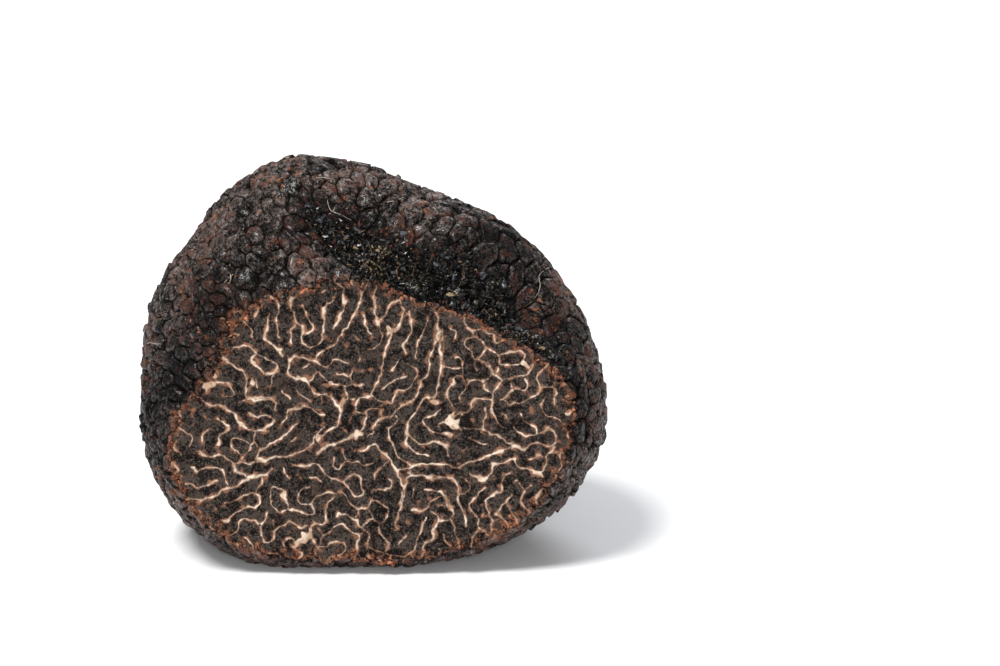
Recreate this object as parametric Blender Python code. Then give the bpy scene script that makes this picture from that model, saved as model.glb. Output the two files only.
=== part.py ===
"""A black truffle with its end sliced off, lying on its flattened underside, and the soil in its fold.

The sizes below are in millimetres, +Z is up, and the meshes are made in metres at the end. The cut
face looks along -Y and leans back a little. The origin is on the surface that the truffle lies on,
under the middle of its box.
"""

import math

import bmesh
import bpy
import numpy as np
from mathutils import Matrix, Vector, noise
from mathutils.kdtree import KDTree

MM = 0.001
NAME = "black_truffle"

# The body: an egg of these half-widths, pushed out in lobes and pressed in along folds.
# A direction is (azimuth, elevation) in degrees, with azimuth 0 to the front and 90 to the right.
BODY_CENTRE = (-0.8, -5.0, 18.25)
BODY_RADII = (30.9, 25.0, 21.0)
LOBE_SPREAD = 34.0
LOBES = (
    # name, direction, push
    ("crown", (-150, 65), 5.2),
    ("upper left", (-110, 62), 6.5),
    ("rear left", (-130, 30), 4.6),
    ("rear right", (130, 40), 3.2),
    ("left flank", (-75, 0), -3.3),
    ("lower left", (-62, -33), 4.3),
    ("brow", (10, 55), 3.0),
    ("right shoulder", (92, 55), 4.4),
    ("lower front", (40, -30), 0.8),
    ("lower front left", (-25, -38), -1.9),
    ("seat", (175, -50), 3.0),
)
FOLDS = (
    # name, the directions that its line passes through, depth, half-width in degrees
    ("soil fold", ((-14, 79), (16, 71), (44, 56), (68, 35)), 6.6, 12.5),
    ("brow dent", ((-52, 51), (-30, 56)), 3.6, 11.0),
    ("neck", ((-120, 28), (-95, 52), (-60, 70)), 1.8, 11.0),
    ("left crease", ((-62, 14), (-48, 34)), 1.6, 7.0),
)
FOLD_STEPS = 12
LUMP_COUNT = 9
LUMP_HEIGHT = 0.18
LUMP_WAVES = (5.0, 10.0)

# The knife's cut
CUT_POINT = (-0.3, -18.5, 19.2)
CUT_LEAN = 8.0
CUT_SNAP = 0.04

# The warts of the skin: a raised middle inside low corners, larger over the right shoulder
WART_COUNT = 1800
WART_RISE = (0.18, 0.42)
FURROW_DEPTH = (0.16, 0.34)
LARGE_WARTS = (70, 55)
SMALL_WARTS = (-75, 5)
SIZE_SPREAD = 45.0
SIZE_CHANGE = 0.45
SAMPLE_COUNT = 45000
RELAX_ROUNDS = 3
RELIEF_GRAIN = 23.0
SEED = 11

# The bed of soil behind the cut's upper right edge. An angle is taken round the cut's middle
# from +X, and a depth is how far behind the cut.
SOIL_BED = (
    # angle, nearest depth, furthest depth
    (20, 1.6, 2.4),
    (30, 1.0, 4.6),
    (42, 0.9, 6.0),
    (60, 0.8, 4.6),
    (74, 0.9, 5.0),
    (84, 1.3, 6.6),
    (94, 3.6, 8.2),
    (106, 6.8, 7.8),
)
BED_FADE = (-1.3, 0.1)
SOIL_GAP = 0.45
SOIL_THICKNESS = 1.3
SOIL_EDGE = 0.35
SOIL_CRUMB = 1.0
SOIL_CRUMB_SIZE = 1.1
SOIL_RAGGED = 0.3
SOIL_RAGGED_SHARE = 0.2
SOIL_CELLS = (46, 15)
BODY_REACH = 60.0
REACH_HALVINGS = 30

SKIN_COLOUR = (0.018, 0.013, 0.011, 1.0)
SOIL_COLOUR = (0.010, 0.009, 0.009, 1.0)


def unit(vectors):
    return vectors / np.linalg.norm(vectors, axis=-1, keepdims=True)


def smoothstep(x, low, high):
    t = np.clip((x - low) / (high - low), 0, 1)
    return t * t * (3 - 2 * t)


def direction(azimuth, elevation):
    a, e = math.radians(azimuth), math.radians(elevation)
    return np.array((math.sin(a) * math.cos(e), -math.cos(a) * math.cos(e), math.sin(e)))


def angle_to(directions, targets):
    """The angle in degrees from each direction to the nearest of the targets."""
    cosines = directions @ np.atleast_2d(targets).T
    return np.degrees(np.arccos(np.clip(cosines.max(-1), -1, 1)))


def fold_line(stops):
    """Directions in small steps along a fold."""
    ends = [direction(*stop) for stop in stops]
    steps = np.arange(FOLD_STEPS)[:, None] / FOLD_STEPS
    stretches = [a + (b - a) * steps for a, b in zip(ends, ends[1:])]
    return unit(np.vstack(stretches + [ends[-1]]))


def lumps(directions):
    """Gentle waves that keep the body from being an even curve."""
    draw = np.random.default_rng(SEED)
    waves = unit(draw.normal(size=(LUMP_COUNT, 3))) * draw.uniform(*LUMP_WAVES, (LUMP_COUNT, 1))
    phases = draw.uniform(0, 2 * np.pi, LUMP_COUNT)
    return LUMP_HEIGHT * np.sin(directions @ waves.T + phases).sum(-1)


def body_radius(directions):
    """How far the smooth body reaches from its centre in each direction."""
    radius = 1 / np.linalg.norm(directions / np.array(BODY_RADII), axis=-1) + lumps(directions)
    for _, way, push in LOBES:
        radius = radius + push * np.exp(-((angle_to(directions, direction(*way)) / LOBE_SPREAD) ** 2))
    for _, stops, depth, width in FOLDS:
        radius = radius - depth * np.exp(-((angle_to(directions, fold_line(stops)) / width) ** 2))
    return radius


def body_points(directions):
    return np.array(BODY_CENTRE) + directions * body_radius(directions)[:, None]


def body_normals(directions, step=0.01):
    """Outward normals of the smooth body, from points a little way to each side."""
    pole = np.where(abs(directions[:, 2:]) < 0.9, (0, 0, 1.0), (1.0, 0, 0))
    side = unit(np.cross(pole, directions))
    slopes = []
    for way in (side, np.cross(directions, side)):
        ahead, behind = unit(directions + way * step), unit(directions - way * step)
        slopes.append(body_points(ahead) - body_points(behind))
    return unit(np.cross(*slopes))


def cut_axes():
    """The cut's own axes: to the right, up the face, and out of it towards the knife."""
    lean = math.radians(CUT_LEAN)
    up = (0.0, math.sin(lean), math.cos(lean))
    out = (0.0, -math.cos(lean), math.sin(lean))
    return np.array(((1.0, 0.0, 0.0), up, out))


def around_cut(points):
    """The angle round the cut's middle and the depth behind the cut of each point."""
    across, up, out = cut_axes() @ (points - np.array(CUT_POINT)).T
    return np.degrees(np.arctan2(up, across)), -out


def points_around_cut(angles, depths):
    """The points of the smooth body at these angles round the cut's middle and depths behind it."""
    across, up, out = cut_axes()
    starts = np.array(CUT_POINT) - depths[:, None] * out
    turns = np.radians(angles)[:, None]
    ways = np.cos(turns) * across + np.sin(turns) * up
    near, far = np.zeros(len(angles)), np.full(len(angles), BODY_REACH)
    for _ in range(REACH_HALVINGS):
        middle = (near + far) / 2
        from_centre = starts + ways * middle[:, None] - np.array(BODY_CENTRE)
        inside = np.linalg.norm(from_centre, axis=1) < body_radius(unit(from_centre))
        near, far = np.where(inside, middle, near), np.where(inside, far, middle)
    return starts + ways * near[:, None]


def soil_cover(points):
    """1 under the bed of soil, falling to 0 a little way outside it."""
    angles, depths = around_cut(points)
    stops, nearest, furthest = np.array(SOIL_BED).T
    near, far = np.interp(angles, stops, nearest), np.interp(angles, stops, furthest)
    inside = np.minimum(depths - near, far - depths)
    reach = np.linalg.norm(points - np.array(CUT_POINT), axis=1)
    past_ends = np.radians(np.minimum(angles - stops[0], stops[-1] - angles)) * reach
    return smoothstep(np.minimum(inside, past_ends), *BED_FADE)


def wart_density(directions):
    """How closely the warts stand: area of skin seen in each direction, over the size wanted there."""
    facing = (body_normals(directions) * directions).sum(-1)
    area = body_radius(directions) ** 2 / np.maximum(facing, 0.2)
    large = np.exp(-((angle_to(directions, direction(*LARGE_WARTS)) / SIZE_SPREAD) ** 2))
    small = np.exp(-((angle_to(directions, direction(*SMALL_WARTS)) / SIZE_SPREAD) ** 2))
    return area * (1 + SIZE_CHANGE * (small - large))


def wart_directions():
    """Where the warts stand: drawn at random, then moved apart to the middles of their own patches."""
    draw = np.random.default_rng(SEED)
    spots = unit(draw.normal(size=(SAMPLE_COUNT, 3)))
    density = wart_density(spots)
    spots = spots[draw.choice(SAMPLE_COUNT, SAMPLE_COUNT, p=density / density.sum())]
    warts = spots[draw.choice(SAMPLE_COUNT, WART_COUNT, replace=False)]
    for _ in range(RELAX_ROUNDS):
        tree = KDTree(WART_COUNT)
        for index, wart in enumerate(warts):
            tree.insert(wart, index)
        tree.balance()
        nearest = np.array([tree.find(spot)[1] for spot in spots])
        sums = warts * 1e-6
        np.add.at(sums, nearest, spots)
        warts = unit(sums)
    return warts


def wart_relief(directions, is_top):
    """How far each wart's middle stands out, and how deep the furrow runs at each of its corners."""
    grain = np.array([noise.noise(Vector(way) * RELIEF_GRAIN) for way in directions])
    share = np.clip(0.5 + grain, 0, 1)
    rise = WART_RISE[0] + share * (WART_RISE[1] - WART_RISE[0])
    depth = FURROW_DEPTH[0] + share * (FURROW_DEPTH[1] - FURROW_DEPTH[0])
    return np.where(is_top, rise, -depth)


def wart_mesh():
    """A ball of warts, each a fan of faces from its middle to its corners, where furrows meet."""
    ball = bmesh.new()
    tops = [ball.verts.new(way) for way in wart_directions()]
    bmesh.ops.convex_hull(ball, input=tops)
    spokes = ball.edges[:]
    corners = bmesh.ops.poke(ball, faces=ball.faces[:])["verts"]
    bmesh.ops.rotate_edges(ball, edges=spokes)
    for corner in corners:
        corner.co.normalize()
    return ball, set(corners)


def shape_skin(ball, corners):
    """Moves the ball's points out to the body's surface, with its relief, and down to the floor."""
    ball.verts.ensure_lookup_table()
    directions = unit(np.array([vert.co for vert in ball.verts]))
    is_top = np.array([vert not in corners for vert in ball.verts])
    points = body_points(directions)
    relief = wart_relief(directions, is_top) * (1 - soil_cover(points))
    points += body_normals(directions) * relief[:, None]
    points[:, 2] = np.maximum(points[:, 2], 0)
    for vert, point in zip(ball.verts, points):
        vert.co = point


def slice_end(ball):
    """Cuts the end off along the knife's plane and closes the cut with a flat face."""
    plane, out = Vector(CUT_POINT), Vector(cut_axes()[2])
    geometry = ball.verts[:] + ball.edges[:] + ball.faces[:]
    cut = bmesh.ops.bisect_plane(
        ball, geom=geometry, dist=CUT_SNAP, plane_co=plane, plane_no=out, clear_outer=True
    )
    rim = [item for item in cut["geom_cut"] if isinstance(item, bmesh.types.BMEdge)]
    for vert in {vert for edge in rim for vert in edge.verts}:
        vert.co -= out * (vert.co - plane).dot(out)
    bmesh.ops.holes_fill(ball, edges=[edge for edge in rim if edge.is_boundary])
    bmesh.ops.triangulate(ball, faces=ball.faces[:])


def soil_outline(along):
    """The angle round the cut, and the ragged nearest and furthest depth, along the bed from 0 to 1."""
    stops, nearest, furthest = np.array(SOIL_BED).T
    angles = stops[0] + along * (stops[-1] - stops[0])
    near, far = np.interp(angles, stops, nearest), np.interp(angles, stops, furthest)
    ragged = [[noise.noise((angle * SOIL_RAGGED, side, 0)) for angle in angles] for side in (0.5, 9.5)]
    room = SOIL_RAGGED_SHARE * (far - near)
    return angles, near + room * np.abs(ragged[0]), far + room * np.array(ragged[1])


def soil_mesh():
    """A crumbly layer on the bed: a grid and its extruded copy, laid on the body and lifted off it."""
    soil = bmesh.new()
    bmesh.ops.create_grid(soil, x_segments=SOIL_CELLS[0], y_segments=SOIL_CELLS[1], size=0.5)
    layer = bmesh.ops.extrude_face_region(soil, geom=soil.faces[:], use_keep_orig=True)["geom"]
    crumbs = {item for item in layer if isinstance(item, bmesh.types.BMVert)}
    along, across, _ = np.array([vert.co for vert in soil.verts]).T + 0.5
    is_crumb = np.array([vert in crumbs for vert in soil.verts])
    angles, near, far = soil_outline(along)
    ground = points_around_cut(angles, near + across * (far - near))
    body = np.sqrt(np.abs(np.sin(np.pi * along) * np.sin(np.pi * across)))
    crumb = np.array([noise.noise(Vector(point) / SOIL_CRUMB_SIZE) for point in ground])
    thickness = SOIL_EDGE + body * (SOIL_THICKNESS - SOIL_EDGE + SOIL_CRUMB * crumb)
    lift = SOIL_GAP + np.where(is_crumb, thickness, 0)
    places = ground + body_normals(unit(ground - np.array(BODY_CENTRE))) * lift[:, None]
    for vert, place in zip(soil.verts, places):
        vert.co = place
    bmesh.ops.triangulate(soil, faces=soil.faces[:])
    return soil


def make_material(name, colour, roughness):
    material = bpy.data.materials.new(name)
    material.use_nodes = True
    shader = material.node_tree.nodes["Principled BSDF"]
    shader.inputs["Base Color"].default_value = colour
    shader.inputs["Roughness"].default_value = roughness
    shader.inputs["Metallic"].default_value = 0.0
    material.diffuse_color = colour
    return material


def add_part(name, shape, material, collection):
    """Makes an object from a shape in millimetres, its faces turned outwards."""
    bmesh.ops.recalc_face_normals(shape, faces=shape.faces[:])
    bmesh.ops.transform(shape, matrix=Matrix.Scale(MM, 4), verts=shape.verts[:])
    mesh = bpy.data.meshes.new(name)
    shape.to_mesh(mesh)
    shape.free()
    mesh.materials.append(material)
    collection.objects.link(bpy.data.objects.new(name, mesh))


def main():
    for old in list(bpy.data.objects):
        bpy.data.objects.remove(old)
    collection = bpy.data.collections.new(NAME)
    bpy.context.scene.collection.children.link(collection)
    ball, corners = wart_mesh()
    shape_skin(ball, corners)
    slice_end(ball)
    add_part("truffle", ball, make_material("truffle_skin", SKIN_COLOUR, 0.75), collection)
    add_part("soil_in_fold", soil_mesh(), make_material("soil", SOIL_COLOUR, 0.85), collection)


main()
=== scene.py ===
"""The looks of the cut black truffle, as a Blender add-on that is run as a script.

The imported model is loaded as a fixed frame. The skin, the cut face, the soil in the fold and the
root hairs are made anew with their finishes, and the floor, the lights and the camera are added.
Sizes are in millimetres here, and each finished mesh is scaled to metres.
"""

import math
from contextlib import contextmanager

import bpy
import numpy as np
from bpy.props import FloatProperty, FloatVectorProperty, IntProperty, PointerProperty
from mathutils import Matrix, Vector, noise
from mathutils.geometry import delaunay_2d_cdt
from mathutils.kdtree import KDTree


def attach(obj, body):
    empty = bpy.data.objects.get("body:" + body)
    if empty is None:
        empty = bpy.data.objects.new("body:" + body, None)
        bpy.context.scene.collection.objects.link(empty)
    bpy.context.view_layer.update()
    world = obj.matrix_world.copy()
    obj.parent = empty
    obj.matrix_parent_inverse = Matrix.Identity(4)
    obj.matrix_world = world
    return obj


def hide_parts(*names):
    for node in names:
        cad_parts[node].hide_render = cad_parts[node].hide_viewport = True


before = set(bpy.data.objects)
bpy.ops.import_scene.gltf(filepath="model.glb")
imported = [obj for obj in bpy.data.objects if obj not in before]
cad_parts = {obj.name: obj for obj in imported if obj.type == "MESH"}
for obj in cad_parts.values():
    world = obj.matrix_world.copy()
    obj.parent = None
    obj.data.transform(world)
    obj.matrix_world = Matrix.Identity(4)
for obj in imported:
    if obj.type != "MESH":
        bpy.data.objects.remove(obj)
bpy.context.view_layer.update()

bl_info = {
    "name": "Cut black truffle",
    "version": (1, 0, 0),
    "blender": (4, 5, 0),
    "location": "View3D > Sidebar > Truffle",
    "description": "Builds the skin, the cut face, the soil, the root hairs and the stage",
    "category": "Object",
}

MM = 0.001
BODY = "root"

# The body's shape, as in the part's source. A direction is (azimuth, elevation) in degrees, with
# azimuth 0 to the front and 90 to the right.
BODY_CENTRE = np.array((-0.8, -5.0, 18.25))
BODY_RADII = np.array((30.9, 25.0, 21.0))
LOBE_SPREAD = 34.0
LOBES = (
    # name, direction, push
    ("crown", (-150, 65), 5.2),
    ("upper left", (-110, 62), 6.5),
    ("rear left", (-130, 30), 4.6),
    ("rear right", (130, 40), 3.2),
    ("left flank", (-75, 0), -3.3),
    ("lower left", (-62, -33), 4.3),
    ("brow", (10, 55), 3.0),
    ("right shoulder", (92, 55), 4.4),
    ("lower front", (40, -30), 0.8),
    ("lower front left", (-25, -38), -1.9),
    ("seat", (175, -50), 3.0),
)
FOLDS = (
    # name, the directions that its line passes through, depth, half-width in degrees
    ("soil fold", ((-14, 79), (16, 71), (44, 56), (68, 35)), 6.6, 12.5),
    ("brow dent", ((-52, 51), (-30, 56)), 3.6, 11.0),
    ("neck", ((-120, 28), (-95, 52), (-60, 70)), 1.8, 11.0),
    ("left crease", ((-62, 14), (-48, 34)), 1.6, 7.0),
)
FOLD_STEPS = 12
LUMP_COUNT = 9
LUMP_HEIGHT = 0.18
LUMP_WAVES = (5.0, 10.0)
CUT_POINT = np.array((-0.3, -18.5, 19.2))
CUT_LEAN = 8.0
WART_COUNT = 1800
LARGE_WARTS = (70, 55)
SMALL_WARTS = (-75, 5)
SIZE_SPREAD = 45.0
SIZE_CHANGE = 0.45
SAMPLE_COUNT = 45000
RELAX_ROUNDS = 3
RELIEF_GRAIN = 23.0
SEED = 11
SOIL_BED = (
    # angle round the cut, nearest depth behind it, furthest depth
    (20, 1.6, 2.4),
    (30, 1.0, 4.6),
    (42, 0.9, 6.0),
    (60, 0.8, 4.6),
    (74, 0.9, 5.0),
    (84, 1.3, 6.6),
    (94, 3.6, 8.2),
    (106, 6.8, 7.8),
)
BED_FADE = (-1.3, 0.1)
DIRT_FADE = (-3.2, 0.6)

# The search for the body's surface: how far out it starts, and its rounds
BODY_REACH = 60.0
REACH_HALVINGS = 30
REACH_STEPS = 40

# The photograph's frame and camera
PHOTO_SIZE = np.array((1000, 666))
LENS = 120.0
SENSOR = 36.0
CAMERA_ELEVATION = 15.0
CAMERA_DISTANCE = 438.0
ANCHOR = np.array((-0.3, -19.5, 1.5))
ANCHOR_PIXEL = np.array((367.5, 561.0))

# A wart from its middle (0) to the furrow round it (1): where its rings of points lie, and how high
WART_RINGS = ((0, 0.25, 0.5, 0.75, 1), (0, 0.44, 0.74, 0.90, 1))
WART_PROFILE = ((0, 0.44, 0.74, 0.90, 1), (1, 0.97, 0.88, 0.63, 0))
LEAST_RISE = 0.35
LEAST_FURROW = 0.12
FURROW_FADE = (-0.52, 0.16)
TINY = 0.01
SWAY = 0.020
# Grains on top of each other, each given as its share, size and shift
SWAY_GRAINS = tuple(((1.0, 0.075, shift), (0.5, 0.075 / 2.3, shift)) for shift in (3.0, 13.0, 23.0))
FURROW_GRAINS = ((1.0, 2.6, 7.0), (0.4, 1.2, 8.0))
CREASE_GRAINS = ((2.4, 1.25, 3.0), (1.2, 0.7, 5.0))
CREASE_WIDTH = 0.5
CREASE_DEPTH = 2.2
WRINKLE_GRAIN = (0.55, 6.0)
# Spots of painted shade on the skin, where it lies in shadow, such as the left crease and the left flank:
# pixel of the photograph, reach
PAINTED_SHADE_SPOTS = (
    ((215, 315), 7.5),
    ((178, 372), 6.0),
    ((300, 232), 3.0),
    ((150, 410), 7.5),
    ((505, 235), 5.5),
    ((560, 330), 4.0),
    ((576, 405), 5.0),
)

# The cut face: a slab whose back is smaller and hidden, and how far the rim's finish reaches
CUT_SNAP = 0.04
SLAB_DEPTH = 0.35
SLAB_INSET = 0.5
SLAB_RISE = 0.06
SLAB_ROUGH = 0.05
SLAB_BEVEL = 0.5
SLAB_GRAINS = ((1.0, 0.8, 41.0), (0.7, 0.33, 47.0))
RIM_STEP = 0.05
RIM_REACH = 8.0

# The torn crust: steps along the rim, chance of a lump and its change, and the lumps' measures
CRUST_STEP = 0.17
CRUST_SCATTER = 0.16
CRUST_CHANCE = (0.38, 1.8)
CRUST_LIMITS = (0.06, 0.95)
CRUST_GRAIN = (4.0, 3.0)
CRUST_INWARD = 0.12
CRUST_LIFTS = (-0.26, 0.0)
CRUST_SIZES = (0.14, 0.52)
CRUST_STRETCH = (1, 0.8, 0.6)

# Lumps of soil and crust: how many shapes, each the hull of this many points, and their reach
LUMP_SHAPES = 10
LUMP_POINTS = 11
LUMP_REACH = (0.75, 1.15)

# The bed of soil: cells along and across, how far its edge sinks into the skin, how far its
# underside lies below that, its grain, and how many times as long as wide it is
SOIL_CELLS = (230, 70)
SOIL_SINK = -0.12
SOIL_UNDER = 0.25
SOIL_ROUGH = 1.8
SOIL_GRAINS = ((1.0, 1.1, 0.0), (0.45, 0.45, 5.0), (0.25, 0.2, 9.0))
SOIL_RAGGED_SHARE = 0.2
SOIL_RAGGED_GRAIN = 0.3
BED_RATIO = 5

# What lies on the soil, also a little past its edges: crumbs, with tan ones round one place,
# flakes, the large one with its size and lift, and fibres
SPREAD_ALONG = (-0.02, 1.02)
SPREAD_ACROSS = (-0.14, 1.14)
EDGE_LIFT = 0.05
CRUMB_SMALLEST = 0.17
CRUMB_LIFT = 0.35
CRUMB_STRETCH = (1.3, 0.7, 0.4)
COLOURED_TINT = 0.9
COLOURED_SIZE = 0.6
TAN_PIXEL = (382, 258)
TAN_REACH = 2.6
TAN_CHANCE = 0.45
TAN_TINT = 0.97
FLAKE_SIZES = (0.22, 0.62)
FLAKE_LIFT = 0.25
FLAKE_STRETCH = (1, 0.5, 0.1)
FLAKE_PIXEL = (452, 293)
LARGE_FLAKE = (0.9, 0.2)
FIBRE_RADIUS = 0.024
FIBRE_STARTS = ((0.04, 0.1), (0.96, 0.9))
FIBRE_LENGTHS = (0.008, 0.035)
FIBRE_BEND = 0.9
FIBRE_STEPS = 6
FIBRE_LIFT = (0.16, 0.25)
HAIR_LIFT = 0.22
# A thread's thickness at its ends, as a share of that in its middle
THREAD_END = 0.45

# Second colours of the finishes
CRUST_BLACK = (0.014, 0.009, 0.008)
CRUST_DARK = (0.02, 0.012, 0.010)
BED_GREY = (0.05, 0.045, 0.043)
FLAKE_BROWN = (0.16, 0.075, 0.03)
FLAKE_DARK = (0.05, 0.035, 0.02)
FIBRE_DARK = (0.05, 0.035, 0.028)
HAIR_DARK = (0.18, 0.13, 0.10)
FLOOR_PALE = (0.95, 0.95, 0.95)

LAMP_AIM = (0.0, 0.0, 0.02)
LAMPS = (
    # name, place, size, share of the key strength, colour
    ("key", (-0.35, -0.28, 0.90), 0.36, 1.0, (1.0, 0.99, 0.97)),
    ("front", (0.12, -1.0, 0.30), 0.4, 0.42, (1.0, 1.0, 1.0)),
    ("back", (0.15, 0.7, 0.7), 0.5, 0.42, (0.95, 0.97, 1.0)),
)

# The veins that stand out on the cut, as lines through pixels of the photograph
VEINS = (
    ((359, 293), (355, 315), (344, 334), (328, 347), (316, 360), (304, 355), (293, 359), (289, 371)),
    ((439, 311), (438, 331), (431, 358), (424, 384), (416, 399), (400, 406), (384, 419), (378, 423)),
    ((442, 328), (441, 360), (439, 384), (434, 394), (419, 409), (406, 425), (404, 438), (406, 446)),
    ((379, 325), (388, 308), (398, 299), (407, 307), (400, 323), (391, 339), (384, 360), (378, 379)),
    ((378, 379), (370, 394), (357, 400), (355, 411), (366, 413)),
    ((412, 309), (410, 333), (404, 342)),
    ((325, 304), (324, 317), (325, 334)),
    ((376, 293), (375, 309), (379, 325)),
    ((293, 296), (292, 323), (290, 344)),
    ((301, 323), (303, 344)),
    ((269, 315), (265, 334), (270, 343), (280, 350)),
    ((220, 358), (234, 368), (242, 368), (245, 387), (250, 398), (272, 398), (277, 403)),
    ((236, 347), (248, 347), (258, 352), (253, 363), (264, 374), (277, 374)),
    ((296, 378), (307, 379), (320, 395), (331, 395), (336, 403), (341, 406)),
    ((345, 400), (341, 411), (333, 427), (328, 434), (320, 441)),
    ((202, 402), (224, 406), (237, 414), (241, 427), (253, 431), (264, 430), (273, 422)),
    ((273, 422), (264, 414), (248, 417)),
    ((293, 429), (277, 441), (262, 449), (257, 459), (277, 457), (296, 454), (315, 441), (324, 427)),
    ((197, 453), (221, 455), (232, 463), (256, 462), (282, 457)),
    ((232, 465), (245, 478), (266, 477)),
    ((201, 505), (213, 494), (234, 486), (248, 480)),
    ((315, 451), (331, 446), (344, 442), (355, 433), (363, 426), (367, 411)),
    ((285, 419), (290, 410), (304, 407), (315, 411)),
    ((357, 449), (376, 447), (390, 462), (398, 476), (403, 484), (403, 502), (398, 516), (395, 529)),
    ((399, 473), (411, 466), (438, 465), (465, 465), (486, 457), (505, 447), (532, 447), (556, 442)),
    ((403, 484), (411, 474), (427, 478), (451, 477), (455, 489), (459, 502), (465, 518)),
    ((478, 480), (489, 473), (491, 465), (516, 457), (521, 470), (540, 474), (556, 446)),
    ((406, 430), (419, 441), (438, 443), (449, 446)),
    ((465, 384), (486, 378), (491, 368), (502, 380), (491, 398), (491, 414)),
    ((491, 398), (478, 398), (465, 409), (454, 422), (446, 419)),
    ((483, 411), (483, 430), (499, 435), (518, 447)),
    ((507, 473), (505, 484), (486, 502), (489, 516)),
    ((451, 521), (438, 518), (431, 513)),
    ((438, 518), (431, 542), (424, 548)),
    ((414, 510), (427, 505), (434, 500)),
    ((441, 490), (451, 502), (451, 516)),
    ((285, 490), (288, 508), (304, 513)),
    ((273, 532), (288, 522), (299, 524)),
    ((315, 524), (304, 540), (296, 545)),
    ((304, 540), (320, 548)),
    ((224, 521), (237, 513), (248, 508)),
    ((341, 526), (357, 534), (359, 548)),
    ((357, 518), (363, 529), (370, 545)),
    ((205, 387), (210, 382), (232, 382)),
)
# White patches where veins meet: pixel of the photograph, radius
PATCHES = (
    ((454, 422), 1.0),
    ((391, 333), 0.55),
    ((208, 386), 0.65),
    ((304, 538), 0.75),
    ((356, 433), 0.6),
    ((525, 363), 0.65),
    ((212, 376), 0.35),
    ((331, 385), 0.45),
    ((252, 380), 0.4),
    ((449, 436), 0.5),
    ((433, 400), 0.45),
)
# The growth of the fine veins: two substances that feed and starve each other on a grid
VEIN_STEP = 0.165
VEIN_BOX = ((-28.5, 28.5), (-19.5, 21.5))
VEIN_ROUNDS = 2300
VEIN_SPREAD = 0.39
VEIN_FEED = 0.0450
VEIN_KILL = 0.0629
VEIN_VARY = 0.0012
VEIN_VARY_GRAIN = 9.0
VEIN_START = (1.3, 1.5, 0.3, 0.5)
VEIN_HOLD = (0.4, 0.33)
VEIN_BLUR = 1.5
VEIN_WARP = (0.75, 0.24)
KNOT_PEAK = 1.22
KNOT_GRAINS = ((1.0, 1.05, 17.0), (0.5, 0.4, 27.0))
KNOT_FADE = (0.10, 0.36)
# The crest of a fine vein: how high and how sharp it must be to show, from a little to in full, how
# round it may be and how steeply it may fall before it fades, and the heights over which it widens
CREST_HEIGHT = (0.45, 0.66)
CREST_BEND = (0.005, 0.014)
CREST_ROUND = (0.4, 0.8)
CREST_FALL = (0.05, 0.11)
CREST_WIDE = (0.6, 1.25)
CREST_PERCENT = 97

# Whitish root hairs on the skin, as lines through pixels of the photograph
HAIRS = (
    ((327, 201), (328, 209), (332, 213), (340, 214), (347, 217), (352, 219)),
    ((231, 263), (228, 272), (233, 279), (228, 285)),
    ((222, 283), (227, 279), (232, 274)),
    ((548, 268), (538, 272), (537, 279), (541, 285), (539, 293), (535, 300)),
    ((147, 345), (152, 341), (155, 346), (160, 344)),
    ((388, 203), (396, 201), (404, 198)),
    ((316, 179), (324, 177), (331, 179)),
)


def unit(vectors):
    return vectors / np.linalg.norm(vectors, axis=-1, keepdims=True)


def smoothstep(x, low, high):
    t = np.clip((x - low) / (high - low), 0, 1)
    return t * t * (3 - 2 * t)


def direction(azimuth, elevation):
    a, e = math.radians(azimuth), math.radians(elevation)
    return np.array((math.sin(a) * math.cos(e), -math.cos(a) * math.cos(e), math.sin(e)))


def angle_to(directions, targets):
    """The angle in degrees from each direction to the nearest of the targets."""
    cosines = directions @ np.atleast_2d(targets).T
    return np.degrees(np.arccos(np.clip(cosines.max(-1), -1, 1)))


def fold_line(stops):
    """Directions in small steps along a fold."""
    ends = [direction(*stop) for stop in stops]
    steps = np.arange(FOLD_STEPS)[:, None] / FOLD_STEPS
    stretches = [a + (b - a) * steps for a, b in zip(ends, ends[1:])]
    return unit(np.vstack(stretches + [ends[-1]]))


def lumps(directions):
    """Gentle waves that keep the body from being an even curve."""
    draw = np.random.default_rng(SEED)
    waves = unit(draw.normal(size=(LUMP_COUNT, 3))) * draw.uniform(*LUMP_WAVES, (LUMP_COUNT, 1))
    phases = draw.uniform(0, 2 * np.pi, LUMP_COUNT)
    return LUMP_HEIGHT * np.sin(directions @ waves.T + phases).sum(-1)


def body_radius(directions):
    """How far the smooth body reaches from its centre in each direction."""
    radius = 1 / np.linalg.norm(directions / BODY_RADII, axis=-1) + lumps(directions)
    for _, way, push in LOBES:
        radius = radius + push * np.exp(-((angle_to(directions, direction(*way)) / LOBE_SPREAD) ** 2))
    for _, stops, depth, width in FOLDS:
        radius = radius - depth * np.exp(-((angle_to(directions, fold_line(stops)) / width) ** 2))
    return radius


def body_points(directions):
    return BODY_CENTRE + directions * body_radius(directions)[:, None]


def body_normals(directions, step=0.01):
    """Outward normals of the smooth body, from points a little way to each side."""
    pole = np.where(abs(directions[:, 2:]) < 0.9, (0, 0, 1.0), (1.0, 0, 0))
    side = unit(np.cross(pole, directions))
    slopes = []
    for way in (side, np.cross(directions, side)):
        ahead, behind = unit(directions + way * step), unit(directions - way * step)
        slopes.append(body_points(ahead) - body_points(behind))
    return unit(np.cross(*slopes))


def cut_axes():
    """The cut's own axes: to the right, up the face, and out of it towards the knife."""
    lean = math.radians(CUT_LEAN)
    up = (0.0, math.sin(lean), math.cos(lean))
    out = (0.0, -math.cos(lean), math.sin(lean))
    return np.array(((1.0, 0.0, 0.0), up, out))


def on_cut(points):
    """Each point's place along the cut's axes, in millimetres from its middle."""
    return (np.asarray(points) - CUT_POINT) @ cut_axes().T


def off_cut(places):
    """The points at these places along the cut's axes."""
    return CUT_POINT + np.asarray(places) @ cut_axes()


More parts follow.
